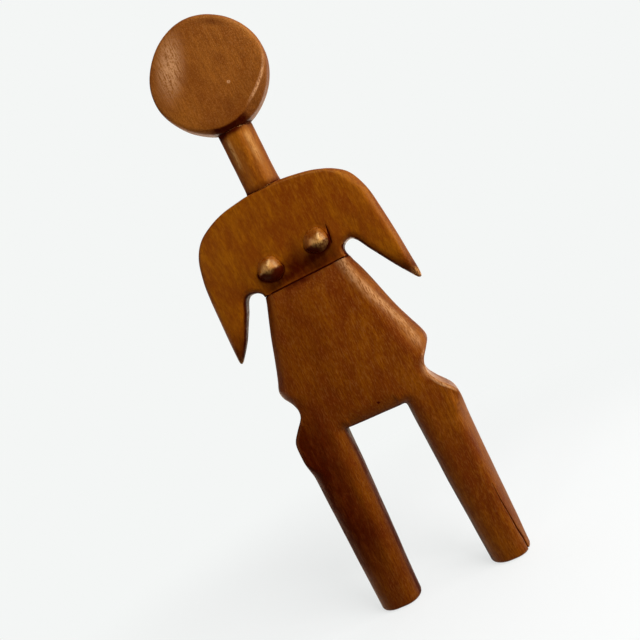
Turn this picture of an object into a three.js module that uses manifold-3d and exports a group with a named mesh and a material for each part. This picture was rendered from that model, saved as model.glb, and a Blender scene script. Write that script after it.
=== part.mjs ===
// A carved wooden doll, 272 mm tall, standing upright: a thick round head, a whittled neck, a shoulder board whose two
// arms end in points, two domed breasts, and a flared body that runs down into two square-rounded legs.
// Units are millimetres. +Z is up, the doll faces -Y, and +X is the doll's left arm. The origin is on the floor, midway
// between the feet.
import * as THREE from "three";
import { mergeVertices } from "three/addons/utils/BufferGeometryUtils.js";
import Module from "manifold-3d";

const wasm = await Module();
wasm.setup();

// Heights that stack up from the floor
const LEG_LENGTH = 80.7; // floor to crotch
const BODY_HEIGHT = 67.9; // crotch to the joint under the breasts
const YOKE_HEIGHT = 42.8; // that joint to the top of the shoulders
const NECK_LENGTH = 27.8; // shoulders to the lowest point of the head
const CROTCH_Z = LEG_LENGTH;
const JOINT_Z = CROTCH_Z + BODY_HEIGHT;
const SHOULDER_Z = JOINT_Z + YOKE_HEIGHT;
const HEAD_BASE_Z = SHOULDER_Z + NECK_LENGTH;

// Head: a turned disc with a nearly flat face and a domed back
const HEAD_RADIUS = 26.5;
const HEAD_FACE_RADIUS = 20.5; // where the face ends and its rounded edge begins
const HEAD_FACE_CROWN = 0.8;
const HEAD_EDGE_ROUNDING = 3.2;
const HEAD_FRONT = 11; // widest place to the middle of the face
const HEAD_BACK = 12; // widest place to the middle of the back
const HEAD_Y = 1; // the widest place lies this far behind the doll's middle plane
const HEAD_X = 0.3;
const HEAD_Z = HEAD_BASE_Z + HEAD_RADIUS;

// Neck: a whittled spindle, coped to the head and the shoulders, with a round tenon at each end
const NECK_DIAMETER = 15.6;
const NECK_WAIST = 0.3; // the spindle is this much thinner in radius halfway up
const NECK_RUNS_DOWN = 6; // how far the spindle runs into the shoulders before it is coped
const NECK_RUNS_UP = 8; // and into the head
const TENON_DIAMETER = 9;
const TENON_IN_HEAD = 12;
const TENON_IN_YOKE = 16;

// Shoulder board: its top edge is a quarter of a superellipse on each side, and the arms taper to points
const YOKE_THICKNESS = 16.5;
const YOKE_EDGE_RADIUS = 3.2;
const SHOULDER_HALF_WIDTH = 41;
const SHOULDER_DROP = 27; // top of the shoulders to where the arm's straight outer edge begins
const SHOULDER_FULLNESS = 2.5; // exponent of the superellipse
const ARM_TIP_X = 44.9;
const ARM_TIP_DROP = 65.8; // top of the shoulders to the arm's tip
const ARM_TIP_WIDTH = 1.8;
const ARM_TIP_THICKNESS = 8;
const ARMPIT_RADIUS = 3.8;
const ARMPIT_X = { left: 23.8, right: 24.8 };
const ARMPIT_RISE = { left: 2.4, right: 0.8 }; // centre of the armpit's arc above the joint
const CHEST_HOLLOW = 2.2; // how far the chest is cut back where it meets the joint
const CHEST_HOLLOW_HEIGHT = 8.5;
const CHEST_RUNS_DOWN = 4; // how far the chest is shaped below the joint before the joint is cut
const CHEST_CORE_HEIGHT = 12; // how far the body's shape is carried up into the chest

// Lower body: waist, hips and legs in one board
const WAIST_HALF_WIDTH = 20;
const WAIST_THICKNESS = 15.4;
const HIP_THICKNESS = 19.2;
const HIP_HALF_WIDTH = { left: 34.8, right: 33.6 };
const HIP_HEIGHT = { left: 21, right: 28 }; // above the crotch
const NOTCH_HALF_WIDTH = { left: 28.2, right: 29.3 };
const NOTCH_HEIGHT = { left: 8.4, right: 17.5 };
const BODY_EDGE_RADIUS = 6.5;
const LEG_SHOULDER_X = 37.3;
const LEG_SHOULDER_HEIGHT = { left: -5, right: 4 };
const LEG_GAP = 29.2; // between the legs at the crotch
const LEG_THICKNESS = 19.6;
const FOOT_INNER_X = 17.6;
const FOOT_OUTER_X = 35.6;
const FOOT_THICKNESS = 17.4;
const LEG_EDGE_RADIUS = 6;
const FOOT_ROUNDING = 1.8;
const CROTCH_ROUNDING = 4;

// Breasts: domed buttons on round shanks
const BREAST_DIAMETER = 10;
const BREAST_HEIGHT = 4.75;
const BREAST_X = { left: 11, right: 12.3 };
const BREAST_RISE = { left: 12, right: 10.6 }; // above the joint
const SHANK_DIAMETER = 5;
const SHANK_LENGTH = 5.5;

// Dowels across the joint under the breasts
const DOWEL_DIAMETER = 6;
const DOWEL_LENGTH = 26;
const DOWEL_X = 10.5;
const DOWEL_Y = 2; // behind the middle plane, clear of the breasts' shanks
const DOWEL_CHAMFER = 0.8;

// Clearances of the glued joints
const GLUE_GAP = 0.3; // round a tenon, shank or dowel, and under a coped end
const END_GAP = 0.6; // past the end of a tenon, shank or dowel

const SIDES = { left: 1, right: -1 }; // the doll's own left and right, and the sign of X there
const WOOD = { color: 0x7c4012, roughness: 0.45, metalness: 0 };
const ARC_STEPS = 4; // facets on the rounded corner of a section
const ROUND_STEPS = 28; // facets round a tenon, dowel or dome
const HEAD_STEPS = 56;

// Smooth curve through [place, value] pairs that never overshoots them
function profile(pairs) {
  const slope = pairs.slice(1).map(([p, v], i) => (v - pairs[i][1]) / (p - pairs[i][0]));
  const tangent = pairs.map((_, i) => {
    const before = slope[i - 1] ?? slope[i];
    const after = slope[i] ?? slope[i - 1];
    return before * after <= 0 ? 0 : (2 * before * after) / (before + after);
  });
  return (place) => {
    const last = pairs.length - 2;
    const i = Math.min(last, Math.max(0, pairs.findIndex(([p]) => p > place) - 1));
    const k = place >= pairs[last + 1][0] ? last : i;
    const [p0, v0] = pairs[k];
    const [p1, v1] = pairs[k + 1];
    const span = p1 - p0;
    const t = THREE.MathUtils.clamp((place - p0) / span, 0, 1);
    const rise = t * t * (3 - 2 * t);
    return v0 + (v1 - v0) * rise + span * t * (1 - t) * (tangent[k] * (1 - t) - tangent[k + 1] * t);
  };
}

// Rounded rectangle as an anticlockwise loop of points, with the same number of points at any size
function roundedLoop(halfWidth, halfDepth, radius) {
  const r = Math.min(radius, 0.96 * halfWidth, 0.96 * halfDepth);
  const corners = [[1, 1], [-1, 1], [-1, -1], [1, -1]];
  return corners.flatMap(([sideX, sideY], quarter) =>
    Array.from({ length: ARC_STEPS + 1 }, (_, i) => {
      const angle = ((quarter + i / ARC_STEPS) * Math.PI) / 2;
      const x = sideX * (halfWidth - r) + r * Math.cos(angle);
      const y = sideY * (halfDepth - r) + r * Math.sin(angle);
      return new THREE.Vector2(x, y);
    }),
  );
}

// Closed skin over a row of loops that all have the same number of points
function loft(loops) {
  const count = loops[0].length;
  const points = loops.flat();
  const index = [];
  for (let i = 0; i < loops.length - 1; i++)
    for (let j = 0; j < count; j++) {
      const a = i * count + j;
      const b = i * count + ((j + 1) % count);
      index.push(a, b, b + count, a, b + count, a + count);
    }
  for (const [end, flip] of [[0, true], [loops.length - 1, false]]) {
    const middle = points.length;
    const sum = loops[end].reduce((total, p) => total.add(p), new THREE.Vector3());
    points.push(sum.divideScalar(count));
    for (let j = 0; j < count; j++) {
      const a = end * count + j;
      const b = end * count + ((j + 1) % count);
      index.push(middle, flip ? b : a, flip ? a : b);
    }
  }
  const geometry = new THREE.BufferGeometry().setFromPoints(points);
  geometry.setIndex(index);
  return geometry;
}

// Rounded-rectangle section at a height, between two sides and two faces
function levelLoop({ z, right, left, front, back, radius }) {
  const halfWidth = (left - right) / 2;
  const halfDepth = (back - front) / 2;
  const [x, y] = [(left + right) / 2, (back + front) / 2];
  return roundedLoop(halfWidth, halfDepth, radius).map((p) => new THREE.Vector3(x + p.x, y + p.y, z));
}

// Upright form from its lowest to its highest level, with its lower end rounded over
function uprightForm(levelAt, bottom, top, steps, rounding) {
  const roundedSteps = 4;
  const rounded = Array.from({ length: roundedSteps }, (_, i) => {
    const angle = ((i / roundedSteps) * Math.PI) / 2;
    const inset = rounding * (1 - Math.sin(angle));
    const level = levelAt(bottom + rounding * (1 - Math.cos(angle)));
    return {
      ...level,
      right: level.right + inset,
      left: level.left - inset,
      front: level.front + inset,
      back: level.back - inset,
    };
  });
  const start = bottom + rounding;
  const plain = Array.from({ length: steps + 1 }, (_, i) => levelAt(start + ((top - start) * i) / steps));
  return loft([...rounded, ...plain].map(levelLoop));
}

function toSolid(geometry) {
  const bare = geometry.clone();
  for (const name of ["normal", "uv"]) bare.deleteAttribute(name);
  const merged = mergeVertices(bare, 1e-4);
  return new wasm.Manifold(
    new wasm.Mesh({
      numProp: 3,
      vertProperties: new Float32Array(merged.attributes.position.array),
      triVerts: new Uint32Array(merged.index.array),
    }),
  );
}

function toGeometry(solid) {
  const { vertProperties, triVerts } = solid.getMesh();
  const geometry = new THREE.BufferGeometry();
  geometry.setAttribute("position", new THREE.BufferAttribute(vertProperties, 3));
  geometry.setIndex(new THREE.BufferAttribute(triVerts, 1));
  return geometry;
}

// Upright round bar, with a chamfer at each end
function roundBar(radius, bottom, top, chamfer = 0) {
  const outline = [
    [0, bottom],
    [radius - chamfer, bottom],
    [radius, bottom + chamfer],
    [radius, top - chamfer],
    [radius - chamfer, top],
    [0, top],
  ].filter((p, i, all) => i === 0 || p[0] !== all[i - 1][0] || p[1] !== all[i - 1][1]);
  const bar = new THREE.LatheGeometry(outline.map(([r, z]) => new THREE.Vector2(r, z)), ROUND_STEPS);
  return bar.rotateX(Math.PI / 2);
}

const box = (x0, x1, y0, y1, z0, z1) =>
  new THREE.BoxGeometry(x1 - x0, y1 - y0, z1 - z0).translate((x0 + x1) / 2, (y0 + y1) / 2, (z0 + z1) / 2);

// Head, turned about an axis that runs from front to back; grow makes the tool that copes the neck's top end
function headSolid(grow = 0) {
  const faceY = -HEAD_FRONT;
  const outline = [[0, faceY - grow]];
  for (const share of [0.5, 0.85, 1])
    outline.push([HEAD_FACE_RADIUS * share, faceY + HEAD_FACE_CROWN * share * share - grow]);
  const edge = new THREE.CubicBezierCurve(
    new THREE.Vector2(HEAD_FACE_RADIUS, faceY + HEAD_FACE_CROWN),
    new THREE.Vector2(HEAD_FACE_RADIUS + HEAD_EDGE_ROUNDING, faceY + HEAD_FACE_CROWN + 0.4),
    new THREE.Vector2(HEAD_RADIUS - 0.4, -HEAD_FRONT * 0.5),
    new THREE.Vector2(HEAD_RADIUS, 0),
  );
  const dome = new THREE.CubicBezierCurve(
    new THREE.Vector2(HEAD_RADIUS, 0),
    new THREE.Vector2(HEAD_RADIUS, HEAD_BACK * 0.62),
    new THREE.Vector2(HEAD_RADIUS * 0.62, HEAD_BACK),
    new THREE.Vector2(0, HEAD_BACK),
  );
  for (const p of edge.getPoints(7).slice(1)) outline.push([p.x + grow, p.y]);
  for (const p of dome.getPoints(9).slice(1)) outline.push([p.x && p.x + grow, p.y + grow]);
  const turned = new THREE.LatheGeometry(outline.map(([r, y]) => new THREE.Vector2(r, y)), HEAD_STEPS);
  return toSolid(turned.translate(HEAD_X, HEAD_Y, HEAD_Z));
}

// Points on the outline of the shoulder board, on the doll's left; side is "left" or "right"
const onShoulder = (degrees) => {
  const angle = THREE.MathUtils.degToRad(degrees);
  const power = 2 / SHOULDER_FULLNESS;
  return new THREE.Vector2(
    SHOULDER_HALF_WIDTH * Math.cos(angle) ** power,
    SHOULDER_Z - SHOULDER_DROP + SHOULDER_DROP * Math.sin(angle) ** power,
  );
};
const onArmpit = (side, degrees) => {
  const angle = THREE.MathUtils.degToRad(degrees);
  return new THREE.Vector2(
    ARMPIT_X[side] + ARMPIT_RADIUS * Math.cos(angle),
    JOINT_Z + ARMPIT_RISE[side] + ARMPIT_RADIUS * Math.sin(angle),
  );
};
const between = (a, b, share) => new THREE.Vector2().lerpVectors(a, b, share);

// Pairs of opposite outline points from the middle of the chest out to the arm's tip, with the board's thickness there
function yokePairs(side) {
  const chestBottom = JOINT_Z - CHEST_RUNS_DOWN;
  const armTop = onShoulder(0);
  const tip = new THREE.Vector2(ARM_TIP_X, SHOULDER_Z - ARM_TIP_DROP);
  const innerTop = onArmpit(side, 25);
  const innerTip = tip.clone().add(new THREE.Vector2(-ARM_TIP_WIDTH, 0.4));
  const thickAt = (share) => THREE.MathUtils.lerp(YOKE_THICKNESS, ARM_TIP_THICKNESS, share);
  return [
    [onShoulder(90), new THREE.Vector2(0, chestBottom), YOKE_THICKNESS],
    [onShoulder(72), new THREE.Vector2(9, chestBottom), YOKE_THICKNESS],
    [onShoulder(56), new THREE.Vector2(16, chestBottom + 2), YOKE_THICKNESS],
    [onShoulder(44), onArmpit(side, 150), YOKE_THICKNESS],
    [onShoulder(32), onArmpit(side, 110), thickAt(0.02)],
    [onShoulder(20), onArmpit(side, 75), thickAt(0.07)],
    [onShoulder(8), onArmpit(side, 48), thickAt(0.14)],
    [between(armTop, tip, 0.12), innerTop, thickAt(0.24)],
    [between(armTop, tip, 0.36), between(innerTop, innerTip, 0.25), thickAt(0.4)],
    [between(armTop, tip, 0.6), between(innerTop, innerTip, 0.52), thickAt(0.58)],
    [between(armTop, tip, 0.82), between(innerTop, innerTip, 0.78), thickAt(0.78)],
    [between(armTop, tip, 0.94), between(innerTop, innerTip, 0.93), thickAt(0.9)],
    [tip, innerTip, thickAt(1)],
  ];
}

// Board of the shoulders and arms without its joints; grow makes the tool that copes what sits on it
function yokeBoard(grow = 0) {
  const mirrored = ([outer, inner, thickness]) => [
    new THREE.Vector2(-outer.x, outer.y),
    new THREE.Vector2(-inner.x, inner.y),
    thickness,
  ];
  const pairs = [...yokePairs("right").slice(1).reverse().map(mirrored), ...yokePairs("left")];
  const curveOf = (pick) => new THREE.CatmullRomCurve3(pairs.map(pick), false, "centripetal");
  const outerCurve = curveOf(([outer]) => new THREE.Vector3(outer.x, 0, outer.y));
  const innerCurve = curveOf(([, inner]) => new THREE.Vector3(inner.x, 0, inner.y));
  const thicknessCurve = curveOf(([, , thickness], i) => new THREE.Vector3(i, thickness, 0));
  const stations = 2 * (pairs.length - 1);
  const loops = Array.from({ length: stations + 1 }, (_, i) => {
    const outer = outerCurve.getPoint(i / stations);
    const inner = innerCurve.getPoint(i / stations);
    const halfDepth = thicknessCurve.getPoint(i / stations).y / 2 + grow;
    const across = outer.clone().sub(inner);
    const halfWidth = across.length() / 2 + grow;
    across.normalize();
    const middle = outer.add(inner).multiplyScalar(0.5);
    return roundedLoop(halfWidth, halfDepth, YOKE_EDGE_RADIUS + grow).map(
      (p) => new THREE.Vector3(middle.x + across.x * p.x, -p.y, middle.z + across.z * p.x),
    );
  });
  // The middle of the chest carries straight on up from the body below
  const levelAt = (z) => ({ ...bodyLevel(JOINT_Z), z });
  const core = uprightForm(levelAt, JOINT_Z - 1, JOINT_Z + CHEST_CORE_HEIGHT, 2, 0.5);
  const cutHeight = 5 * CHEST_RUNS_DOWN;
  const belowJoint = box(
    -ARMPIT_X.left,
    ARMPIT_X.left,
    -YOKE_THICKNESS,
    YOKE_THICKNESS,
    JOINT_Z - cutHeight,
    JOINT_Z,
  );
  return toSolid(loft(loops)).add(toSolid(core)).subtract(toSolid(belowJoint));
}

// Sides, faces and edge radius of the waist and hips at a height
const sideProfile = (side) =>
  profile([
    [CROTCH_Z, NOTCH_HALF_WIDTH[side] - 1],
    [CROTCH_Z + NOTCH_HEIGHT[side], NOTCH_HALF_WIDTH[side]],
    [CROTCH_Z + (NOTCH_HEIGHT[side] + HIP_HEIGHT[side]) / 2, (NOTCH_HALF_WIDTH[side] + HIP_HALF_WIDTH[side]) / 2],
    [CROTCH_Z + HIP_HEIGHT[side], HIP_HALF_WIDTH[side]],
    [CROTCH_Z + HIP_HEIGHT[side] + 5, HIP_HALF_WIDTH[side] - 1.9],
    [JOINT_Z, WAIST_HALF_WIDTH],
  ]);
const bodySide = { left: sideProfile("left"), right: sideProfile("right") };
const bodyHalfDepth = profile([
  [CROTCH_Z, HIP_THICKNESS / 2],
  [CROTCH_Z + 25, HIP_THICKNESS / 2],
  [JOINT_Z, WAIST_THICKNESS / 2],
]);
function bodyLevel(z) {
  const halfDepth = bodyHalfDepth(z);
  return {
    z,
    right: -bodySide.right(z),
    left: bodySide.left(z),
    front: -halfDepth,
    back: halfDepth,
    radius: BODY_EDGE_RADIUS,
  };
}

// One leg, from the floor to its top inside the hip
function leg(side) {
  const sign = SIDES[side];
  const shoulderZ = CROTCH_Z + LEG_SHOULDER_HEIGHT[side];
  const notchZ = CROTCH_Z + NOTCH_HEIGHT[side];
  const topZ = notchZ + 8;
  const outer = profile([
    [0, FOOT_OUTER_X],
    [shoulderZ - 24, LEG_SHOULDER_X - 0.9],
    [shoulderZ, LEG_SHOULDER_X],
    [(shoulderZ + notchZ) / 2, (LEG_SHOULDER_X + NOTCH_HALF_WIDTH[side]) / 2 + 1],
    [notchZ, NOTCH_HALF_WIDTH[side] - 0.2],
    [topZ, NOTCH_HALF_WIDTH[side] - 4],
  ]);
  const inner = profile([[0, FOOT_INNER_X], [CROTCH_Z, LEG_GAP / 2], [topZ, LEG_GAP / 2]]);
  const halfDepth = profile([
    [0, FOOT_THICKNESS / 2],
    [CROTCH_Z - 8, LEG_THICKNESS / 2],
    [notchZ, HIP_THICKNESS / 2 - 0.4],
    [topZ, HIP_THICKNESS / 2 - 4],
  ]);
  const levelAt = (z) => {
    const [near, far] = [inner(z) * sign, outer(z) * sign];
    const depth = halfDepth(z);
    return {
      z,
      right: Math.min(near, far),
      left: Math.max(near, far),
      front: -depth,
      back: depth,
      radius: LEG_EDGE_RADIUS,
    };
  };
  return toSolid(uprightForm(levelAt, 0, topZ, 24, FOOT_ROUNDING));
}

// Dowel across the joint under the breasts, or with the clearances added, the hole that it sits in
function dowel(side, sideGap = 0, endGap = 0) {
  const reach = DOWEL_LENGTH / 2 + endGap;
  const chamfer = sideGap ? 0 : DOWEL_CHAMFER;
  const bar = roundBar(DOWEL_DIAMETER / 2 + sideGap, JOINT_Z - reach, JOINT_Z + reach, chamfer);
  return toSolid(bar.translate(SIDES[side] * DOWEL_X, DOWEL_Y, 0));
}
const dowelHole = (side) => dowel(side, GLUE_GAP, END_GAP);

function lowerBody() {
  const torso = toSolid(uprightForm(bodyLevel, CROTCH_Z, JOINT_Z, 30, CROTCH_ROUNDING));
  return torso
    .add(leg("left"))
    .add(leg("right"))
    .subtract(dowelHole("left"))
    .subtract(dowelHole("right"));
}

// Turns a bar or dome that points up so that it lies along Y, and puts it where a breast sits on the chest
const onChest = (geometry, side) =>
  geometry
    .rotateX(-Math.PI / 2)
    .translate(SIDES[side] * BREAST_X[side], -YOKE_THICKNESS / 2, JOINT_Z + BREAST_RISE[side]);

const neckSocket = toSolid(
  roundBar(
    TENON_DIAMETER / 2 + GLUE_GAP,
    SHOULDER_Z - TENON_IN_YOKE - END_GAP,
    HEAD_BASE_Z + TENON_IN_HEAD + END_GAP,
  ),
);

const shankHole = (side) =>
  toSolid(onChest(roundBar(SHANK_DIAMETER / 2 + GLUE_GAP, -BREAST_HEIGHT, SHANK_LENGTH + END_GAP), side));

// The chest is cut back in a slope that is deepest at the joint under the breasts; grow makes the tool that leaves a
// skin of that thickness, for what is coped to the slope
function chestHollow(grow = 0) {
  const slope = Math.atan2(CHEST_HOLLOW, CHEST_HOLLOW_HEIGHT);
  const reach = 2 * CHEST_HOLLOW_HEIGHT;
  const tool = box(-ARMPIT_X.right, ARMPIT_X.left, -reach, 0, -reach, reach);
  tool.rotateX(slope).translate(0, -YOKE_THICKNESS / 2 - grow, JOINT_Z + CHEST_HOLLOW_HEIGHT);
  return toSolid(tool);
}

function yoke() {
  return yokeBoard()
    .subtract(neckSocket)
    .subtract(shankHole("left"))
    .subtract(shankHole("right"))
    .subtract(dowelHole("left"))
    .subtract(dowelHole("right"))
    .subtract(chestHollow());
}

function neck() {
  const [bottom, top] = [SHOULDER_Z - NECK_RUNS_DOWN, HEAD_BASE_Z + NECK_RUNS_UP];
  const outline = profile([
    [bottom, NECK_DIAMETER / 2],
    [(SHOULDER_Z + HEAD_BASE_Z) / 2, NECK_DIAMETER / 2 - NECK_WAIST],
    [top, NECK_DIAMETER / 2],
  ]);
  const steps = 8;
  const points = Array.from({ length: steps + 1 }, (_, i) => bottom + ((top - bottom) * i) / steps);
  const edge = [[0, bottom], ...points.map((z) => [outline(z), z]), [0, top]];
  const spindle = new THREE.LatheGeometry(edge.map(([r, z]) => new THREE.Vector2(r, z)), ROUND_STEPS);
  const tenon = roundBar(
    TENON_DIAMETER / 2,
    SHOULDER_Z - TENON_IN_YOKE,
    HEAD_BASE_Z + TENON_IN_HEAD,
    DOWEL_CHAMFER,
  );
  return toSolid(spindle.rotateX(Math.PI / 2))
    .subtract(yokeBoard(GLUE_GAP))
    .subtract(headSolid(GLUE_GAP))
    .add(toSolid(tenon));
}

function breast(side) {
  const radius = BREAST_DIAMETER / 2;
  const steps = 7;
  const outline = Array.from({ length: steps + 1 }, (_, i) => {
    const angle = ((i / steps) * Math.PI) / 2;
    return new THREE.Vector2(radius * Math.sin(angle), -BREAST_HEIGHT * Math.cos(angle));
  });
  // The outline carries on behind the chest's front, where the dome is coped to the chest
  outline.push(new THREE.Vector2(radius, BREAST_HEIGHT / 3), new THREE.Vector2(0, BREAST_HEIGHT / 3));
  const dome = new THREE.LatheGeometry(outline, ROUND_STEPS).rotateX(Math.PI / 2);
  const shank = roundBar(SHANK_DIAMETER / 2, -BREAST_HEIGHT / 2, SHANK_LENGTH);
  return toSolid(onChest(dome, side))
    .subtract(yokeBoard(GLUE_GAP).subtract(chestHollow(GLUE_GAP)))
    .add(toSolid(onChest(shank, side)));
}

const doll = new THREE.Group();
doll.name = "wooden_doll";
function place(name, solid) {
  const mesh = new THREE.Mesh(toGeometry(solid), new THREE.MeshStandardMaterial(WOOD));
  mesh.name = name;
  doll.add(mesh);
}
place("head", headSolid().subtract(neckSocket));
place("neck", neck());
place("shoulder_yoke", yoke());
place("left_breast_peg", breast("left"));
place("right_breast_peg", breast("right"));
place("lower_body", lowerBody());
place("left_dowel", dowel("left"));
place("right_dowel", dowel("right"));

export default doll;
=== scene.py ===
"""A carved wooden doll, stained a warm brown, standing on a pale floor and seen from the front.

Shapes are worked out in millimetres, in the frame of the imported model: +Z up, the doll facing -Y and its
left arm at +X. Each piece is a field of signed distances, negative inside the wood, that is turned into a
mesh.
"""

import math

import bmesh
import bpy
import numpy as np
from mathutils import Matrix, Vector


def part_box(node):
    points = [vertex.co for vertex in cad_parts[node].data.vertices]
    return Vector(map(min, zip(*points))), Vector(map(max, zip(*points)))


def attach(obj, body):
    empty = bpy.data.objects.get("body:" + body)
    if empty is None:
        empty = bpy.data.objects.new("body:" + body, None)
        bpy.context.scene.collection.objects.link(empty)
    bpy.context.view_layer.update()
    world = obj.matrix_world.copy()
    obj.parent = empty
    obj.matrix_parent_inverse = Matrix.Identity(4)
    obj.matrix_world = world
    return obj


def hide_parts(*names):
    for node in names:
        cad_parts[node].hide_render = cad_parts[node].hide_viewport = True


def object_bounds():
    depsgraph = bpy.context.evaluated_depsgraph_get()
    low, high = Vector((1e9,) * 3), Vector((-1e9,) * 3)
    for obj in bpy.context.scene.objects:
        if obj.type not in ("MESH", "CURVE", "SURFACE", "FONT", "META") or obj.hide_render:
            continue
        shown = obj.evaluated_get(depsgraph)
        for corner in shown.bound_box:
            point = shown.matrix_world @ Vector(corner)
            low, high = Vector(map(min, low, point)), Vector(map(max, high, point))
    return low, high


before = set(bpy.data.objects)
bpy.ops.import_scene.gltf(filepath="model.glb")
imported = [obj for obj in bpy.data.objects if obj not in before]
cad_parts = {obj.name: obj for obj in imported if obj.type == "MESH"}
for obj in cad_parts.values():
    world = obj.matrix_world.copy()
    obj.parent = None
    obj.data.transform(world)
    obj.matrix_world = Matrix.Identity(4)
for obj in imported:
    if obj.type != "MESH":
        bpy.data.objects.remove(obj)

CAD_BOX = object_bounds()
MM = 0.001

# Camera, at the photograph's angle
IMAGE_WIDTH = 640
FOCAL_PIXELS = 680
SENSOR_MM = 36
CAMERA_DISTANCE = 300.9
CAMERA_YAW = 7.0
CAMERA_PITCH = 1.1
CAMERA_ROLL = 26.5  # the doll's head leans this far to the left
AIM = (-3.85, 0.0, 128.9)


def mm_box(node):
    low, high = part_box(node)
    return np.array(low) / MM, np.array(high) / MM


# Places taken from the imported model
BODY_LOW, BODY_HIGH = mm_box("lower_body")
YOKE_LOW, YOKE_HIGH = mm_box("shoulder_yoke")
HEAD_LOW, HEAD_HIGH = mm_box("head")
NECK_LOW, NECK_HIGH = mm_box("neck")
JOINT_Z = BODY_HIGH[2]
SHOULDER_Z = YOKE_HIGH[2]

# Joints
TENON_RADIUS = 4.5
SEAM = 0.04  # half the width of the fine gap that shows at a joint
SOCKET_GAP = 0.3  # round a tenon, a shank or a dowel in its hole

# Sampling
PIECE_GRID = 0.55  # spacing of the points where the large pieces are sampled
NECK_GRID = 0.35
PEG_GRID = 0.3
OUTLINE_GRID = 0.35
GRID_MARGIN = 1.5  # how far beyond the given box a piece is sampled
EDGE_PROBE = 2.0  # how deep the wood is probed to tell edges from faces

# Height of the low waves that the tools left on each piece
BODY_WAVES = 0.16
YOKE_WAVES = 0.13
HEAD_WAVES = 0.12
NECK_WAVES = 0.1


def smooth_min(a, b, blend):
    share = np.clip(0.5 + 0.5 * (b - a) / blend, 0, 1)
    return b + (a - b) * share - blend * share * (1 - share)


def smooth_max(a, b, blend):
    return -smooth_min(-a, -b, blend)


def step_up(value, low, high):
    """0 below low, 1 above high and a smooth rise between."""
    t = np.clip((value - low) / (high - low), 0, 1)
    return t * t * (3 - 2 * t)


def on_span(p0, p1, p2, p3, t):
    """The point at share t of the smooth curve from p1 to p2, whose neighbours are p0 and p3."""
    straight = (p2 - p0) * t
    bend = (2 * p0 - 5 * p1 + 4 * p2 - p3) * t**2
    twist = (3 * p1 - p0 - 3 * p2 + p3) * t**3
    return 0.5 * (2 * p1 + straight + bend + twist)


def smooth_line(points, per_span=6):
    """Points along a smooth curve that passes through the given ones, ends included."""
    points = np.array(points, float)
    padded = np.vstack([2 * points[0] - points[1], points, 2 * points[-1] - points[-2]])
    line = []
    for i in range(1, len(padded) - 2):
        for t in np.arange(per_span) / per_span:
            line.append(on_span(*padded[i - 1 : i + 3], t))
    return line + [points[-1]]


def outline_distance(px, py, loop):
    """Signed distance to a closed outline, negative inside it."""
    best = np.full(px.shape, np.inf)
    inside = np.zeros(px.shape, bool)
    for (ax, ay), (bx, by) in zip(loop, np.roll(loop, -1, axis=0)):
        ex, ey = bx - ax, by - ay
        length2 = ex * ex + ey * ey
        if length2 == 0:
            continue
        wx, wy = px - ax, py - ay
        along = np.clip((wx * ex + wy * ey) / length2, 0, 1)
        best = np.minimum(best, (wx - ex * along) ** 2 + (wy - ey * along) ** 2)
        if ay != by:
            crossed = (ay <= py) != (by <= py)
            inside ^= crossed & (px < ax + (py - ay) / (by - ay) * ex)
    return np.where(inside, -1, 1) * np.sqrt(best)


class Outline:
    """Signed distance to a closed outline, with its corners softened, looked up on a fine grid."""

    def __init__(self, loop, soften, margin=10, pitch=OUTLINE_GRID):
        loop = np.array(loop, float)
        self.low = loop.min(0) - margin
        self.pitch = pitch
        count = np.ceil((np.ptp(loop, axis=0) + 2 * margin) / pitch).astype(int) + 1
        px = self.low[0] + pitch * np.arange(count[0])[:, None] + np.zeros(count)
        py = self.low[1] + pitch * np.arange(count[1])[None, :] + np.zeros(count)
        self.grid = self.softened(outline_distance(px, py, loop), soften / pitch)

    @staticmethod
    def softened(grid, sigma):
        reach = int(3 * sigma) + 1
        weights = np.exp(-0.5 * (np.arange(-reach, reach + 1) / sigma) ** 2)
        weights /= weights.sum()
        for axis in (0, 1):
            width = [(reach, reach) if a == axis else (0, 0) for a in (0, 1)]
            padded = np.pad(grid, width, mode="edge")
            size = grid.shape[axis]
            slices = [np.take(padded, np.arange(i, i + size), axis=axis) for i in range(2 * reach + 1)]
            grid = sum(w * part for w, part in zip(weights, slices))
        return grid

    def __call__(self, px, py):
        px, py = np.broadcast_arrays(px, py)
        u = np.clip((px - self.low[0]) / self.pitch, 0, self.grid.shape[0] - 1.001)
        v = np.clip((py - self.low[1]) / self.pitch, 0, self.grid.shape[1] - 1.001)
        i, j = u.astype(int), v.astype(int)
        s, t = u - i, v - j
        g = self.grid
        near = g[i, j] * (1 - s) + g[i + 1, j] * s
        far = g[i, j + 1] * (1 - s) + g[i + 1, j + 1] * s
        return near * (1 - t) + far * t


def rounded_board(flat, depth, edge):
    """Distance to a board with rounded edges.

    Flat is the distance to its outline, depth the distance to its faces and edge the rounding's radius.
    """
    a, b = flat + edge, depth + edge
    return np.minimum(np.maximum(a, b), 0) + np.hypot(np.maximum(a, 0), np.maximum(b, 0)) - edge


class Ripple:
    """Low waves over a surface, as a knife and sandpaper leave them.

    They are a sum of sines whose directions, lengths and phases follow from the seed.
    """

    def __init__(self, seed, shortest, longest, count=9):
        rng = np.random.default_rng(seed)
        directions = rng.normal(size=(count, 3))
        directions /= np.linalg.norm(directions, axis=1)[:, None]
        self.waves = directions * (2 * math.pi / rng.uniform(shortest, longest, count))[:, None]
        self.phases = rng.uniform(0, 2 * math.pi, count)

    def __call__(self, x, y, z):
        total = sum(np.sin(w[0] * x + w[1] * y + w[2] * z + p) for w, p in zip(self.waves, self.phases))
        return total / len(self.phases)


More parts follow.
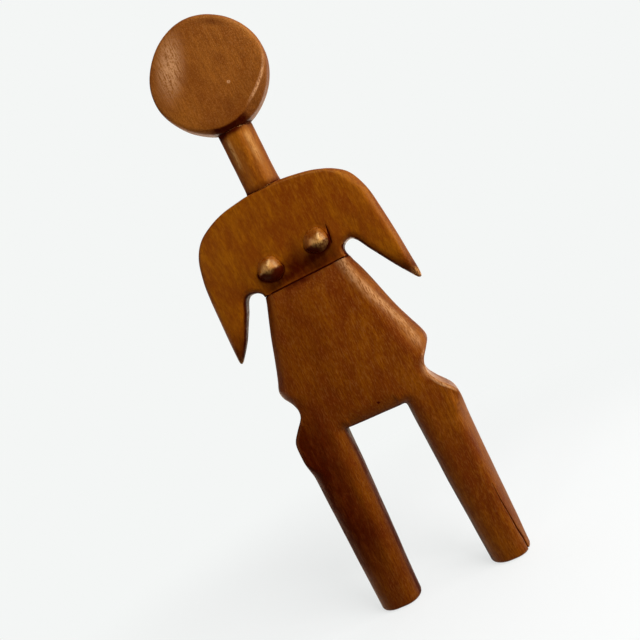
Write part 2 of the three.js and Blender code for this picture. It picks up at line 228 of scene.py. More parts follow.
# Lower body: the waist, hips and legs are one board, sawn to an outline and rounded over
BODY_RIGHT_OF_PICTURE = [
    (19.9, 156), (20.8, 148), (22.9, 142), (25.2, 134.2), (29.3, 120.2), (31.9, 113), (34.4, 106.6),
    (35.2, 102.2), (32.6, 98.4), (29.9, 95.0), (28.7, 91.4), (29.1, 87.6), (31.8, 83.2), (35.6, 78.6),
    (37.1, 74.6), (36.9, 66), (36.4, 46), (36.1, 22), (35.7, 4), (35.5, -8),
]
BODY_LEFT_OF_PICTURE = [
    (-20.2, 156), (-20.9, 148.4), (-25.8, 134.4), (-30.4, 119.6), (-32.9, 112.4), (-34.4, 108.2),
    (-33.6, 104.6), (-30.8, 101), (-29.3, 97.6), (-30.0, 94), (-33.6, 89.8), (-36.6, 85.6), (-37.2, 80),
    (-37.1, 62), (-36.9, 44), (-36.5, 16), (-36.2, -8),
]
LEG_INSIDE_RIGHT = [(17.4, -8), (17.0, 4), (16.0, 24), (15.2, 46), (14.6, 66), (14.4, 80.4)]
LEG_INSIDE_LEFT = [(-14.2, 81.2), (-14.4, 66), (-15.1, 46), (-16.1, 24), (-16.9, 4), (-17.0, -8)]
FOOT_ROUNDING = 1.3
CROTCH_Z = 81.0
CROTCH_FACET_DEPTH = 2.4
CROTCH_FACET_HEIGHT = 4.4
CROTCH_EDGE = 3.2
CROTCH_DOT = (4.0, 86.2)
TORSO_EDGE = 5.0
LEG_EDGE = 7.8
NOTCH_EDGE = 1.0
# Long bevels cut along both sides of the torso: where each begins, at rising heights
BEVEL_HEIGHTS = [92, 103, 126, 145]
BEVEL_RIGHT = [29.5, 25.1, 20.3, 18.3]
BEVEL_LEFT = [32.0, 29.8, 24.3, 17.4]
BEVEL_SLOPE = 0.34
# A pale line down the torso beside the bevel on the doll's left, partly wear and partly painted highlight: x
# at rising heights
PALE_LINE_HEIGHTS = [104, 113, 120, 129, 137, 147]
PALE_LINE = [30.8, 28.6, 26.0, 22.4, 19.6, 17.2]
LEG_BEVEL_X = 32.6  # where the bevel down the outside of the doll's left leg begins
LEG_BEVEL_SLOPE = 0.55
# Half the thickness of the lower body at rising heights
BODY_DEPTH_HEIGHTS = [-10, 6, 40, 78, 104, 126, 150, 160]
BODY_HALF_DEPTHS = [8.6, 8.75, 9.4, 9.75, 9.6, 8.7, 7.5, 7.2]
body_loop = (
    smooth_line(BODY_RIGHT_OF_PICTURE)
    + smooth_line(LEG_INSIDE_RIGHT)
    + smooth_line(LEG_INSIDE_LEFT)
    + smooth_line(BODY_LEFT_OF_PICTURE[::-1])
)
body_outline = Outline(body_loop, soften=0.7)
body_ripple = Ripple(11, 9, 26)

# Shoulder yoke: chest and arms from one board
YOKE_OUTSIDE_RIGHT = [
    (0, 191.1), (9, 190.8), (19, 189.05), (25.2, 187.2), (31, 184.7), (36.6, 180.0), (40.2, 171.6),
    (41.9, 161.6), (43.3, 148.5), (44.6, 134.0), (44.9, 129.4), (44.8, 126.0),
]
YOKE_OUTSIDE_LEFT = [
    (-9, 191.0), (-20.2, 189.45), (-28.5, 186.6), (-35.0, 182.5), (-39.5, 176.0), (-42.0, 167.0),
    (-43.1, 158.2), (-43.8, 147.5), (-44.5, 137.0), (-44.9, 128.6), (-44.8, 125.9),
]
ARM_INSIDE_RIGHT = [(43.1, 126.6), (37.9, 134.1), (33.5, 141.1), (29.4, 147.8), (27.4, 151.6)]
ARMPIT_RIGHT = [
    (26.3, 153.3), (24.6, 154.9), (22.8, 154.8), (20.9, 153.9), (19.8, 152.4), (19.8, 150.4), (20.5, 147.6),
    (20.6, 141),
]
ARM_INSIDE_LEFT = [(-43.8, 126.6), (-37.9, 134.3), (-33.9, 141.4), (-31.4, 145.8), (-29.9, 149.2)]
ARMPIT_LEFT = [
    (-28.6, 151.4), (-26.8, 152.4), (-24.0, 152.0), (-21.8, 150.9), (-20.8, 149.4), (-20.9, 147.2),
    (-20.9, 141),
]
CHEST_HALF_DEPTH = 8.2
ARM_TIP_HALF_DEPTH = 3.9
SHOULDER_EDGE = 1.5
ARM_EDGE = 2.9
# A bevel down the outside of the doll's left arm: where it begins, at rising heights
ARM_BEVEL_HEIGHTS = [130, 150, 172, 182, 188]
ARM_BEVEL = [42.6, 39.8, 37.0, 31.5, 24.0]
ARM_BEVEL_SLOPE = 0.4
HOLLOW_DEPTH = 2.9  # of the scoop under the breasts
HOLLOW_AT_JOINT = 2.3
HOLLOW_DEEPEST = 150.8  # height where it is deepest
HOLLOW_TOP = 161.5  # height where it ends
HOLLOW_HALF_WIDTH = 23.0
HOLLOW_X = -0.5
# A shallow dip between the breasts: its depth, its size across and up, and its height above the joint
DIP_DEPTH = 1.5
DIP_SIZE = (5.0, 5.5)
DIP_RISE = 10.5
CHEST_CUT_HALF_WIDTH = 23  # of the straight cut under the chest, from armpit to armpit
TORSO_TOP_WEAR = 1.9  # how far the front of the torso falls back to meet the scoop
# Dark stain along the joint; painted shade in a sloping band below the breasts and in a pool between them and
# the joint
JOINT_STAIN = 0.17
SHADE_BAND = 0.36
SHADE_BAND_Z = 153.3
SHADE_BAND_SLOPE = 0.17
SHADE_BAND_HALF_HEIGHT = 4.0
SHADE_POOL = 0.37
SHADE_POOL_PLACE = (-2.0, 154.5)
SHADE_POOL_SIZE = 6.8

yoke_loop = (
    smooth_line(YOKE_OUTSIDE_RIGHT[::-1])
    + smooth_line(YOKE_OUTSIDE_LEFT)
    + smooth_line(ARM_INSIDE_LEFT + ARMPIT_LEFT)
    + smooth_line((ARM_INSIDE_RIGHT + ARMPIT_RIGHT)[::-1])
)
yoke_outline = Outline(yoke_loop, soften=0.55)
yoke_ripple = Ripple(23, 8, 24)

# Breasts: domed pegs, each in a shallow ring in the chest
PEG_BALL_RADIUS = 5.5
PEG_TIP_RADIUS = 3.2
PEG_SINK = 1.1  # depth of the ball's centre below the chest
PEG_RING = 6.1
# The domes were cut by eye: how far (x, z) each sits off its shank and how far its tip leans
PEG_OFFSET = {"left": (-0.5, 0.0), "right": (0.0, -0.9)}
PEG_LEAN = {"left": (1.1, -1.5), "right": (-0.6, 0.7)}
SHANK_RADIUS = 2.5
SHANK_DEPTH = 5.5
DOME_ROOT = 5  # how far behind the chest's face a dome ends
TIP_CLEARANCE = 0.05  # between a dome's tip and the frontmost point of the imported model


def peg_place(node):
    low, high = mm_box(node)
    return (low[0] + high[0]) / 2, (low[2] + high[2]) / 2


PEGS = {"left": peg_place("left_breast_peg"), "right": peg_place("right_breast_peg")}
DOWELS = {}
for side in ("left", "right"):
    low, high = mm_box(side + "_dowel")
    DOWELS[side] = ((low + high) / 2, (high - low) / 2)

# Head: half of its outline, from the middle of the face round to the middle of the back
HEAD_PROFILE = [
    (0, -10.0), (8, -9.97), (16, -9.85), (22, -9.6), (24.9, -9.2), (26.0, -8.4), (26.3, -7.2), (26.35, -4.6),
    (26.2, -1), (25.6, 2.2), (23.9, 5.8), (20.7, 9.2), (15, 11.6), (8, 12.7), (0, 12.95),
]
HEAD_RADIUS = 26.35
HEAD_AXIS = (0.95, 244.3)
HEAD_HEIGHT_SHARE = 0.968  # the head is a little wider than it is high
HEAD_UNDERSIDE = HEAD_AXIS[1] - HEAD_RADIUS * HEAD_HEIGHT_SHARE
HEAD_SLIM = 0.025  # share by which the head is slimmer on its diagonals
HEAD_FLECK = (7.8, 236.6)
# The pale band on the cheek, partly wear and partly a painted sheen: how far it leans and where its middle
# lies, across and along it
CHEEK_LEAN = math.radians(26.5)
CHEEK_PLACE = (-16.0, 3.0)
# The face's edge is pared back round the neck: its radius at rising angles from the doll's left
PARED_ANGLES = [-148, -127, -110, -101, -72, -60, -47, -37, -17, -1]
PARED_RADII = [26.4, 24.7, 24.2, 24.1, 23.3, 22.7, 23.1, 23.6, 25.2, 26.2]
PARED_SLOPE = 1.25
PARED_FACE_Y = -9.7  # where the pared edge meets the face
head_half = smooth_line(HEAD_PROFILE)
head_outline = Outline(head_half + [(-r, y) for r, y in head_half[-2:0:-1]], soften=0.3)
head_ripple = Ripple(37, 7, 22)
neck_ripple = Ripple(41, 5, 16)
NECK_RADIUS = 7.85
NECK_FLATNESS = 1.07  # the neck is a little wider than it is deep
# How far the ends of the neck follow the curves they meet
NECK_FOOT_COPE = 2.0
NECK_TOP_COPE = 4.6
NECK_FACETS = 9
NECK_FACET_DEPTH = 0.14
NECK_FLARE = 0.8


def cylinder(x, y, z, centre_x, centre_y, radius, low, high):
    around = np.hypot(x - centre_x, y - centre_y) - radius
    return np.maximum(around, np.maximum(low - z, z - high))


def tenon(x, y, z, gap=0.0):
    return cylinder(x, y, z, 0, 0, TENON_RADIUS + gap, NECK_LOW[2] - gap, NECK_HIGH[2] + gap)


def dowel(x, y, z, side, gap):
    centre, half = DOWELS[side]
    low, high = centre[2] - half[2] - gap, centre[2] + half[2] + gap
    return cylinder(x, y, z, centre[0], centre[1], half[0] + gap, low, high)


def shank(x, y, z, side, gap=0.0):
    centre_x, centre_z = PEGS[side]
    around = np.hypot(x - centre_x, z - centre_z) - SHANK_RADIUS - gap
    deepest = -CHEST_HALF_DEPTH + SHANK_DEPTH + gap
    return np.maximum(around, np.maximum(y - deepest, -CHEST_HALF_DEPTH - 2 - y))


def body_half_depth(z):
    return np.interp(z, BODY_DEPTH_HEIGHTS, BODY_HALF_DEPTHS)


def body_bevels(x, z):
    """How far the long bevels take the faces of the torso and the leg back."""
    start = np.where(x > 0, np.interp(z, BEVEL_HEIGHTS, BEVEL_RIGHT), np.interp(z, BEVEL_HEIGHTS, BEVEL_LEFT))
    past = np.abs(x) - start
    torso = BEVEL_SLOPE * smooth_max(past, 0 * past, 2.5) * step_up(z, 90, 100)
    outside = x - LEG_BEVEL_X
    leg = LEG_BEVEL_SLOPE * smooth_max(outside, 0 * outside, 0.8) * (1 - step_up(z, 72, 84))
    return torso + leg


def body_shell(x, y, z):
    """The lower body with no joint cut and no sockets."""
    flat = body_outline(x, z)
    edge = TORSO_EDGE + (LEG_EDGE - TORSO_EDGE) * (1 - step_up(z, 66, 88))
    notch = step_up(np.abs(x), 24, 31) * step_up(z, 66, 77) * (1 - step_up(z, 96, 104))
    edge = edge + (NOTCH_EDGE - edge) * notch
    middle = np.clip(-flat / 16, 0, 1)
    crotch = (1 - step_up(np.abs(x), 8, 15)) * (1 - step_up(z, 88, 95))
    edge = edge + (CROTCH_EDGE - edge) * crotch
    half_depth = body_half_depth(z) - 0.4 * (1 - middle) ** 2 - body_bevels(x, z)
    worn = (1 - step_up(np.abs(x), 12, 21)) * step_up(z, JOINT_Z - 11, JOINT_Z)
    half_depth = half_depth - TORSO_TOP_WEAR * worn * (y < 0)
    solid = rounded_board(flat, np.abs(y) - half_depth, edge)
    solid = solid + BODY_WAVES * body_ripple(x, y, z)
    climb = np.maximum(z - CROTCH_Z, -2) / CROTCH_FACET_HEIGHT
    facet = (np.abs(y) - half_depth + CROTCH_FACET_DEPTH * (1 - climb)) * 0.85
    facet = facet - 1.3 * np.maximum(np.abs(x) - 11, 0)
    solid = smooth_max(solid, facet, 1.6)
    return smooth_max(solid, -z, FOOT_ROUNDING)


def lower_body(x, y, z):
    solid = smooth_max(body_shell(x, y, z), z - (JOINT_Z - SEAM), 0.12)
    for side in DOWELS:
        solid = np.maximum(solid, -dowel(x, y, z, side, SOCKET_GAP))
    return solid


def chest_hollow(x, z):
    """How far the front of the chest is scooped back, deepest under and between the breasts."""
    rise = HOLLOW_DEPTH * (1 - step_up(z, HOLLOW_DEEPEST, HOLLOW_TOP))
    fall = HOLLOW_AT_JOINT + (HOLLOW_DEPTH - HOLLOW_AT_JOINT) * step_up(z, JOINT_Z, HOLLOW_DEEPEST)
    scoop = np.minimum(rise, fall) * (1 - step_up(np.abs(x - HOLLOW_X), 13, HOLLOW_HALF_WIDTH))
    across, up = (x - HOLLOW_X) / DIP_SIZE[0], (z - JOINT_Z - DIP_RISE) / DIP_SIZE[1]
    return scoop + DIP_DEPTH * np.exp(-(across**2) - up**2)


def yoke_edge(z):
    return ARM_EDGE + (SHOULDER_EDGE - ARM_EDGE) * step_up(z, 168, 186)


def peg_ring(x, z):
    """Depth of the ring cut round each breast."""
    depth = 0
    for centre_x, centre_z in PEGS.values():
        away = np.hypot(x - centre_x, z - centre_z)
        upper = step_up(z - centre_z, -3, 3)
        depth = depth + 0.25 * upper * np.exp(-(((away - PEG_RING) / 0.9) ** 2))
    return depth


def arm_share(x, z):
    """0 on the chest, rising to 1 at the tip of each arm."""
    return step_up(np.abs(x), 14, 26) * np.clip((166 - z) / (166 - YOKE_LOW[2]), 0, 1)


def yoke_shell(x, y, z):
    """The yoke with no joint cut and no sockets."""
    flat = yoke_outline(x, z)
    arm = arm_share(x, z)
    half_depth = CHEST_HALF_DEPTH + (ARM_TIP_HALF_DEPTH - CHEST_HALF_DEPTH) * arm**1.15
    crown = 0.7 * (1 - np.clip(-flat / 17, 0, 1)) ** 2
    past = x - np.interp(z, ARM_BEVEL_HEIGHTS, ARM_BEVEL)
    bevel = ARM_BEVEL_SLOPE * smooth_max(past, 0 * past, 1.2)
    front = half_depth - crown - chest_hollow(x, z) - peg_ring(x, z) - bevel
    depth = np.where(y < 0, -y - front, y - half_depth + crown)
    return rounded_board(flat, depth, yoke_edge(z)) + YOKE_WAVES * yoke_ripple(x, y, z)


def yoke(x, y, z):
    solid = yoke_shell(x, y, z)
    chest = np.abs(x) - CHEST_CUT_HALF_WIDTH
    solid = smooth_max(solid, -smooth_max(z - JOINT_Z - SEAM, chest, 0.3), 0.15)
    solid = np.maximum(solid, -tenon(x, y, z, SOCKET_GAP))
    for side in ("left", "right"):
        solid = np.maximum(solid, -dowel(x, y, z, side, SOCKET_GAP))
        solid = np.maximum(solid, -shank(x, y, z, side, SOCKET_GAP))
    return solid


def head_polar(x, z):
    """Place across and up from the head's middle, distance from it and radius where the edge is pared."""
    across, up = x - HEAD_AXIS[0], (z - HEAD_AXIS[1]) / HEAD_HEIGHT_SHARE
    turn = np.arctan2(up, across)
    away = np.hypot(across, up) * (1 + HEAD_SLIM * np.sin(2 * turn) ** 2)
    return across, up, away, np.interp(np.degrees(turn), PARED_ANGLES, PARED_RADII, left=30, right=30)


def head_shell(x, y, z):
    """The head without its socket."""
    across, up, away, pared = head_polar(x, z)
    past = (away - pared) * PARED_SLOPE - (y - PARED_FACE_Y)
    bevel = past / math.hypot(1, PARED_SLOPE)
    return smooth_max(head_outline(away, y), bevel, 0.5) + HEAD_WAVES * head_ripple(x, y, z) + 0.05


def head(x, y, z):
    return np.maximum(head_shell(x, y, z), -tenon(x, y, z, SOCKET_GAP))


def neck_shaft(x, y, z):
    """The neck as if it ran on into the head and the shoulders."""
    angle = np.arctan2(y, x)
    turn = 0.25 * np.sin(z * 0.11)
    facets = NECK_FACET_DEPTH * np.abs(np.sin((angle + turn) * NECK_FACETS / 2))
    foot = NECK_FLARE * np.exp(-np.maximum(z - SHOULDER_Z + 0.6, 0) / 1.5)
    flare = foot * np.cos(angle) ** 2
    around = np.hypot(x, y * NECK_FLATNESS) - NECK_RADIUS - facets - flare
    around = around + NECK_WAVES * neck_ripple(x, y, z)
    return np.maximum(around, np.maximum(NECK_LOW[2] - z, z - NECK_HIGH[2]))


def neck(x, y, z):
    ends = np.maximum(SHOULDER_Z - NECK_FOOT_COPE - z, z - HEAD_UNDERSIDE - NECK_TOP_COPE)
    solid = np.maximum(neck_shaft(x, y, z), ends)
    solid = smooth_max(solid, -yoke_shell(x, y, z) + SEAM, 0.3)
    solid = smooth_max(solid, -head_shell(x, y, z) + SEAM, 0.3)
    return np.minimum(solid, tenon(x, y, z))


def round_cone(away, up, base, tip, rise):
    """Distance to a ball at up 0 and a smaller ball at up rise, with the cone that touches both."""
    lean = (base - tip) / rise
    across = math.sqrt(1 - lean * lean)
    along = up * across - away * lean
    middle = away * across + up * lean - base
    ball = np.where(along < 0, np.hypot(away, up) - base, np.hypot(away, up - rise) - tip)
    return np.where((along >= 0) & (along <= across * rise), middle, ball)


def breast_dome(side):
    """A breast as if it ran on into the chest."""
    centre_x, centre_z = PEGS[side]
    reach = -CHEST_HALF_DEPTH - CAD_BOX[0][1] / MM - TIP_CLEARANCE
    rise = reach + PEG_SINK - PEG_TIP_RADIUS

    def solid(x, y, z):
        up = -CHEST_HALF_DEPTH - y + PEG_SINK
        height = np.clip(up / (rise + PEG_TIP_RADIUS), 0, 1)
        across = x - centre_x - PEG_OFFSET[side][0] - PEG_LEAN[side][0] * height
        along = z - centre_z - PEG_OFFSET[side][1] - PEG_LEAN[side][1] * height
        away = np.hypot(across, along)
        angle = np.arctan2(along, across)
        # Away from its tip a dome is faintly three-sided and five-sided
        sides = 0.16 * np.sin(3 * angle + 1.0) + 0.1 * np.sin(5 * angle)
        uneven = sides * step_up(away, 1.5, 4.5)
        return round_cone(away, up, PEG_BALL_RADIUS, PEG_TIP_RADIUS, rise) + uneven

    return solid


def breast(side):
    dome = breast_dome(side)

    def solid(x, y, z):
        seated = smooth_max(dome(x, y, z), -yoke_shell(x, y, z) + 0.05, 0.2)
        seated = np.maximum(seated, y + CHEST_HALF_DEPTH - DOME_ROOT)
        return np.minimum(seated, shank(x, y, z, side))

    return solid


# Stain, wear, painted shade and painted highlight run from 0 to 1: each patch is its strength times smooth
# steps, which are in millimetres
def along_joint(x, z):
    """1 along the joint across the chest, falling to 0 within about a millimetre."""
    return (1 - step_up(np.abs(z - JOINT_Z), 0.2, 1.2)) * (1 - step_up(np.abs(x), 22, 24))


def yoke_stain_and_shade(x, y, z):
    """Painted shade in the scoop, most below and between the breasts, and on the arms' tips and inner sides;
    dark stain along the joint.
    """
    scoop = 0.3 * np.clip(chest_hollow(x, z) / HOLLOW_DEPTH, 0, 1) ** 0.8
    above = (z - SHADE_BAND_Z - SHADE_BAND_SLOPE * x) / SHADE_BAND_HALF_HEIGHT
    band = np.exp(-(above**2)) * (1 - step_up(np.abs(x), 11, 20))
    pool_x, pool_z = SHADE_POOL_PLACE
    pool = np.exp(-(((x - pool_x) ** 2 + (z - pool_z) ** 2) / SHADE_POOL_SIZE**2))
    scoop = np.maximum(scoop, np.maximum(SHADE_BAND * band, SHADE_POOL * pool))
    # Painted shade on the lower arms and along their inner sides
    tips = 0.3 * (1 - step_up(z, 128, 152))
    inner = 0.4 * step_up(yoke_outline(x, z), -1.7, -0.2) * (np.abs(x) < np.interp(z, [126, 155], [44.2, 34]))
    sides = np.maximum(tips, inner * (z < 154))
    return np.maximum(np.maximum(scoop * (y < 0), sides), JOINT_STAIN * along_joint(x, z))


def peg_painted_shade(side):
    """Painted shade round the lower half of a breast, which faces away from the light."""
    centre_z = PEGS[side][1]
    return lambda x, y, z: 0.5 * step_up(centre_z - z, 0.2, 2.8) * step_up(y, -14.5, -11.8)


def peg_wear_and_highlight(x, y, z):
    """The tips of the breasts are pale, partly rubbed and partly a painted highlight."""
    return 0.3 * step_up(-y, 11.0, 13.0)


def spot(place, size):
    """1 at a place (x, z) on the front of a piece, falling to 0 within a few times the size."""
    return lambda x, y, z: np.exp(-(np.hypot(x - place[0], z - place[1]) / size) ** 2) * (y < 0)


def body_stain_and_shade(x, y, z):
    """Painted shade down the doll's right side, a painted shadow over its right leg, darker over the hips
    toward the doll's right and on the front just below the joint, dark stain at the joint and in one dot, and
    painted shade inside both legs.
    """
    # Painted shade on the side away from the light and a painted shadow over the doll's right leg
    side = 0.19 * (1 - step_up(x, -14, 30))
    hips = 0.15 * (1 - step_up(x, 4, 20)) * (1 - step_up(z, 104, 126))
    leg = 0.33 * (1 - step_up(x, -32, -2)) * (1 - step_up(z, 84, 132)) * (0.6 + 0.4 * step_up(z, 8, 36))
    inner = 0.34 * step_up(body_outline(x, z), -2.2, -0.3) * (np.abs(x) < 22) * (1 - step_up(z, 84, 88))
    seams = np.maximum(JOINT_STAIN * along_joint(x, z), spot(CROTCH_DOT, 0.5)(x, y, z))
    top = 0.32 * (1 - step_up(JOINT_Z - z, 0.6, 4.5)) * (1 - step_up(np.abs(x + 5), 3, 12)) * (y < 0)
    return np.maximum.reduce([side, hips, leg, inner, top, seams])


def body_wear_and_highlights(x, y, z):
    """Pale along the bevels of the doll's left side and over the notch in its left hip, partly wear and
    partly painted highlight.
    """
    aside = x - np.interp(z, PALE_LINE_HEIGHTS, PALE_LINE)
    width = np.where(aside > 0, 1.7, 3.4)
    line = np.exp(-((aside / width) ** 2)) * step_up(z, 96, 104) * (0.8 + 0.2 * step_up(z, 112, 132))
    strip = step_up(x - LEG_BEVEL_X, 0.2, 1.6) * (1 - step_up(z, 70, 78)) * step_up(z, 6, 30)
    ridge = step_up(body_outline(x, z), -1.5, -0.6) * step_up(x, 26, 29) * (1 - step_up(x, 32, 36))
    ridge = ridge * (1 - step_up(np.abs(z - 83), 4, 8))
    return (y < 0) * np.maximum(np.maximum(0.28 * line, 0.08 * strip), 0.2 * ridge)


def head_stain_and_shade(x, y, z):
    """Painted shade round the top of the neck, under the head; a dark red stain patch at the crown; and a
    little darker at the chin.
    """
    neck_top = 0.4 * (1 - step_up(np.hypot(x, z - HEAD_UNDERSIDE), 6, 12.5)) * step_up(y, -9.8, -8.9)
    across, up, away, _ = head_polar(x, z)
    crown = 0.24 * np.exp(-(((away - 22.5) / 2.6) ** 2) - ((np.arctan2(up, across) - 1.05) / 0.42) ** 2)
    chin = 0.16 * step_up(0.5 * across - up, 4, 20)
    return np.maximum(np.maximum(neck_top, crown), chin)


def head_wear_and_highlights(x, y, z):
    """Pale on the doll's right cheek, partly wear and partly a painted sheen; a painted highlight along the
    pared edge; and rubbed pale in one small fleck.
    """
    across, up, away, pared = head_polar(x, z)
    band = across * math.cos(CHEEK_LEAN) - up * math.sin(CHEEK_LEAN) - CHEEK_PLACE[0]
    along = across * math.sin(CHEEK_LEAN) + up * math.cos(CHEEK_LEAN) - CHEEK_PLACE[1]
    cheek = 0.3 * np.exp(-((band / 6.5) ** 2) - (along / 15) ** 2) * step_up(-y, 8.4, 9.4)
    angle = np.arctan2(up, across)
    edge = 0.4 * np.exp(-(((away - pared) / 0.8) ** 2)) * step_up(-y, 8.6, 9.2) * step_up(angle, -1.3, -0.8)
    return np.maximum(np.maximum(cheek, edge), spot(HEAD_FLECK, 0.5)(x, y, z))


def neck_darkening(x, y, z):
    """Darker where the neck meets the shoulders, and painted shade under the head, most on the doll's right.
    """
    foot = 0.3 * (1 - step_up(z - SHOULDER_Z, -0.5, 5.0))
    top = 0.5 * (1 - step_up(HEAD_UNDERSIDE - z, -1.0, 3.8)) * (1 - 0.5 * step_up(x, 1, 6))
    return np.maximum(foot, top)


def neck_painted_highlights(x, y, z):
    """Painted highlights along two broken stripes down the front, the wider one on the doll's left."""
    left = 0.18 * np.exp(-(((x - 4.6) / 1.9) ** 2)) * step_up(z - SHOULDER_Z, 2, 16)
    right = 0.22 * np.exp(-(((x + 4.4) / 1.3) ** 2)) * step_up(z - SHOULDER_Z, 6, 14)
    return (left + right) * (y < 0) * step_up(HEAD_UNDERSIDE - z, 0, 4.5)


def grid_axes(low, high, pitch):
    counts = np.ceil((np.array(high) - low) / pitch).astype(int) + 1
    return [low[a] + pitch * np.arange(counts[a]) for a in range(3)]


def surface_net(field, low, high, pitch):
    """Vertices and quads on the zero level of a field, with one vertex in each cell that it crosses."""
    ax, ay, az = grid_axes(np.array(low), np.array(high), pitch)
    value = field(ax[:, None, None], ay[None, :, None], az[None, None, :])
    value = value + np.zeros((len(ax), len(ay), len(az)))
    cells = np.array(value.shape) - 1
    total = np.zeros((*cells, 3), np.float32)
    count = np.zeros(cells, np.int32)
    crossings = []
    for axis in range(3):
        near = np.take(value, np.arange(value.shape[axis] - 1), axis=axis)
        far = np.take(value, np.arange(1, value.shape[axis]), axis=axis)
        crossed = (near < 0) != (far < 0)
        share = np.where(crossed, near / np.where(crossed, near - far, 1), 0)
        crossings.append((crossed, near < 0))
        others = [a for a in range(3) if a != axis]
        for da in (0, 1):
            for db in (0, 1):
                window = [slice(None)] * 3
                window[others[0]] = slice(da, da + cells[others[0]])
                window[others[1]] = slice(db, db + cells[others[1]])
                hit = crossed[tuple(window)]
                count += hit
                total[..., axis] += np.where(hit, share[tuple(window)], 0)
                total[..., others[0]] += hit * da
                total[..., others[1]] += hit * db
    active = count > 0
    index = np.full(active.shape, -1, np.int64)
    index[active] = np.arange(active.sum())
    corner = np.argwhere(active)
    start = np.array([ax[0], ay[0], az[0]])
    vertices = start + pitch * (corner + total[active] / count[active][:, None])
    quads = []
    for axis, (crossed, near_inside) in enumerate(crossings):
        b, c = (axis + 1) % 3, (axis + 2) % 3
        inner = crossed.copy()
        for other in (b, c):
            edge = [slice(None)] * 3
            edge[other] = [0, -1]
            inner[tuple(edge)] = False
        at = np.argwhere(inner)
        flip = near_inside[inner]
        step_b, step_c = np.eye(3, dtype=int)[b], np.eye(3, dtype=int)[c]
        ring = [at - step_b - step_c, at - step_c, at, at - step_b]
        quad = np.stack([index[tuple(p.T)] for p in ring], axis=1)
        quads.append(np.where(flip[:, None], quad, quad[:, ::-1]))
    return vertices, np.vstack(quads)


def slope(field, points, reach=0.06):
    columns = []
    for axis in range(3):
        offset = np.zeros(3)
        offset[axis] = reach
        ahead, behind = points + offset, points - offset
        columns.append((field(*ahead.T) - field(*behind.T)) / (2 * reach))
    return np.stack(columns, axis=1)


def unit_normals(field, points):
    normals = slope(field, points)
    return normals / np.maximum(np.linalg.norm(normals, axis=1), 1e-6)[:, None]


def settle(field, vertices, rounds=2, most=0.25):
    """Moves vertices straight onto the zero level."""
    for _ in range(rounds):
        gradient = slope(field, vertices)
        steepness = np.maximum((gradient**2).sum(1), 0.1)
        move = gradient * (field(*vertices.T) / steepness)[:, None]
        vertices = vertices - np.clip(move, -most, most)
    return vertices


FIELDS = {
    "head": head,
    "neck": neck,
    "yoke": yoke,
    "left_breast": breast("left"),
    "right_breast": breast("right"),
    "lower_body": lower_body,
}
SHELLS = [head_shell, neck_shaft, yoke_shell, body_shell, breast_dome("left"), breast_dome("right")]


def nearest_wood(points):
    return np.min([field(*points.T) for field in FIELDS.values()], axis=0)


def depth_in_doll(points):
    """How deep points lie in the doll taken as one solid."""
    return -np.min([shell(*points.T) for shell in SHELLS], axis=0)


def open_above(x, z):
    """Less than 1 round the upper half of each breast, where the stain and the painted shade are weakened
    because that half faces the light.
    """
    share = np.ones(x.shape)
    for centre_x, centre_z in PEGS.values():
        near = 1 - step_up(np.hypot(x - centre_x, z - centre_z), 7, 10)
        share = share * (1 - 0.75 * near * step_up(z - centre_z, -2.5, 1.5))
    return share


def edge_wear_and_highlight(x, z):
    """How pale the edges are, as wear and as painted highlight: most on the doll's left side, where the light
    falls, least at the feet and the joint.
    """
    return (0.25 + 0.75 * step_up(x, -10, 18)) * step_up(z, 4, 12) * (1 - along_joint(x, z))


def shading_values(field, vertices):
    """How hollow and how raised the surface is at each vertex, for the stain and painted shade and for the
    wear and painted highlight.
    """
    normals = unit_normals(field, vertices)
    hollow = np.zeros(len(vertices))
    # Painted shade and gathered stain where other wood closes in over the surface
    for reach, weight in ((0.8, 0.3), (2.0, 0.35), (4.5, 0.35)):
        room = nearest_wood(vertices + normals * reach) / reach
        hollow += weight * np.clip(1 - room, 0, 1)
    raised = np.clip(1 - depth_in_doll(vertices - normals * EDGE_PROBE) / EDGE_PROBE, 0, 1)
    x, _, z = vertices.T
    return hollow * open_above(x, z), raised * edge_wear_and_highlight(x, z)


class Cut:
    """A fine cut in the front of a piece, along a line of points (x, z, half width)."""

    def __init__(self, points, depth):
        self.points = np.array(points, float)
        self.depth = depth

    def profile(self, vertices):
        """1 on the line, falling to 0 at the edges of the cut, and the distance to the line."""
        best = np.full(len(vertices), np.inf)
        width = np.ones(len(vertices))
        for (ax, az, a_width), (bx, bz, b_width) in zip(self.points, self.points[1:]):
            ex, ez = bx - ax, bz - az
            wx, wz = vertices[:, 0] - ax, vertices[:, 2] - az
            along = np.clip((wx * ex + wz * ez) / (ex * ex + ez * ez), 0, 1)
            away = np.hypot(wx - along * ex, wz - along * ez)
            width = np.where(away < best, a_width + (b_width - a_width) * along, width)
            best = np.minimum(best, away)
        best = np.where(vertices[:, 1] < 0, best, np.inf)
        return np.exp(-((best / width) ** 2)), best


def divided(vertices, quads, cut, reach=0.9):
    """The same surface with smaller faces close to a cut."""
    mesh = bmesh.new()
    for vertex in vertices:
        mesh.verts.new(vertex)
    mesh.verts.ensure_lookup_table()
    for quad in quads:
        mesh.faces.new([mesh.verts[i] for i in quad])
    for _ in range(2):
        places = np.array([vertex.co for vertex in mesh.verts])
        near = cut.profile(places)[1] < reach
        mesh.verts.index_update()
        edges = [e for e in mesh.edges if near[e.verts[0].index] and near[e.verts[1].index]]
        bmesh.ops.subdivide_edges(mesh, edges=edges, cuts=1, use_grid_fill=True)
    mesh.verts.index_update()
    places = np.array([vertex.co for vertex in mesh.verts])
    faces = [[vertex.index for vertex in face.verts] for face in mesh.faces]
    mesh.free()
    return places, faces


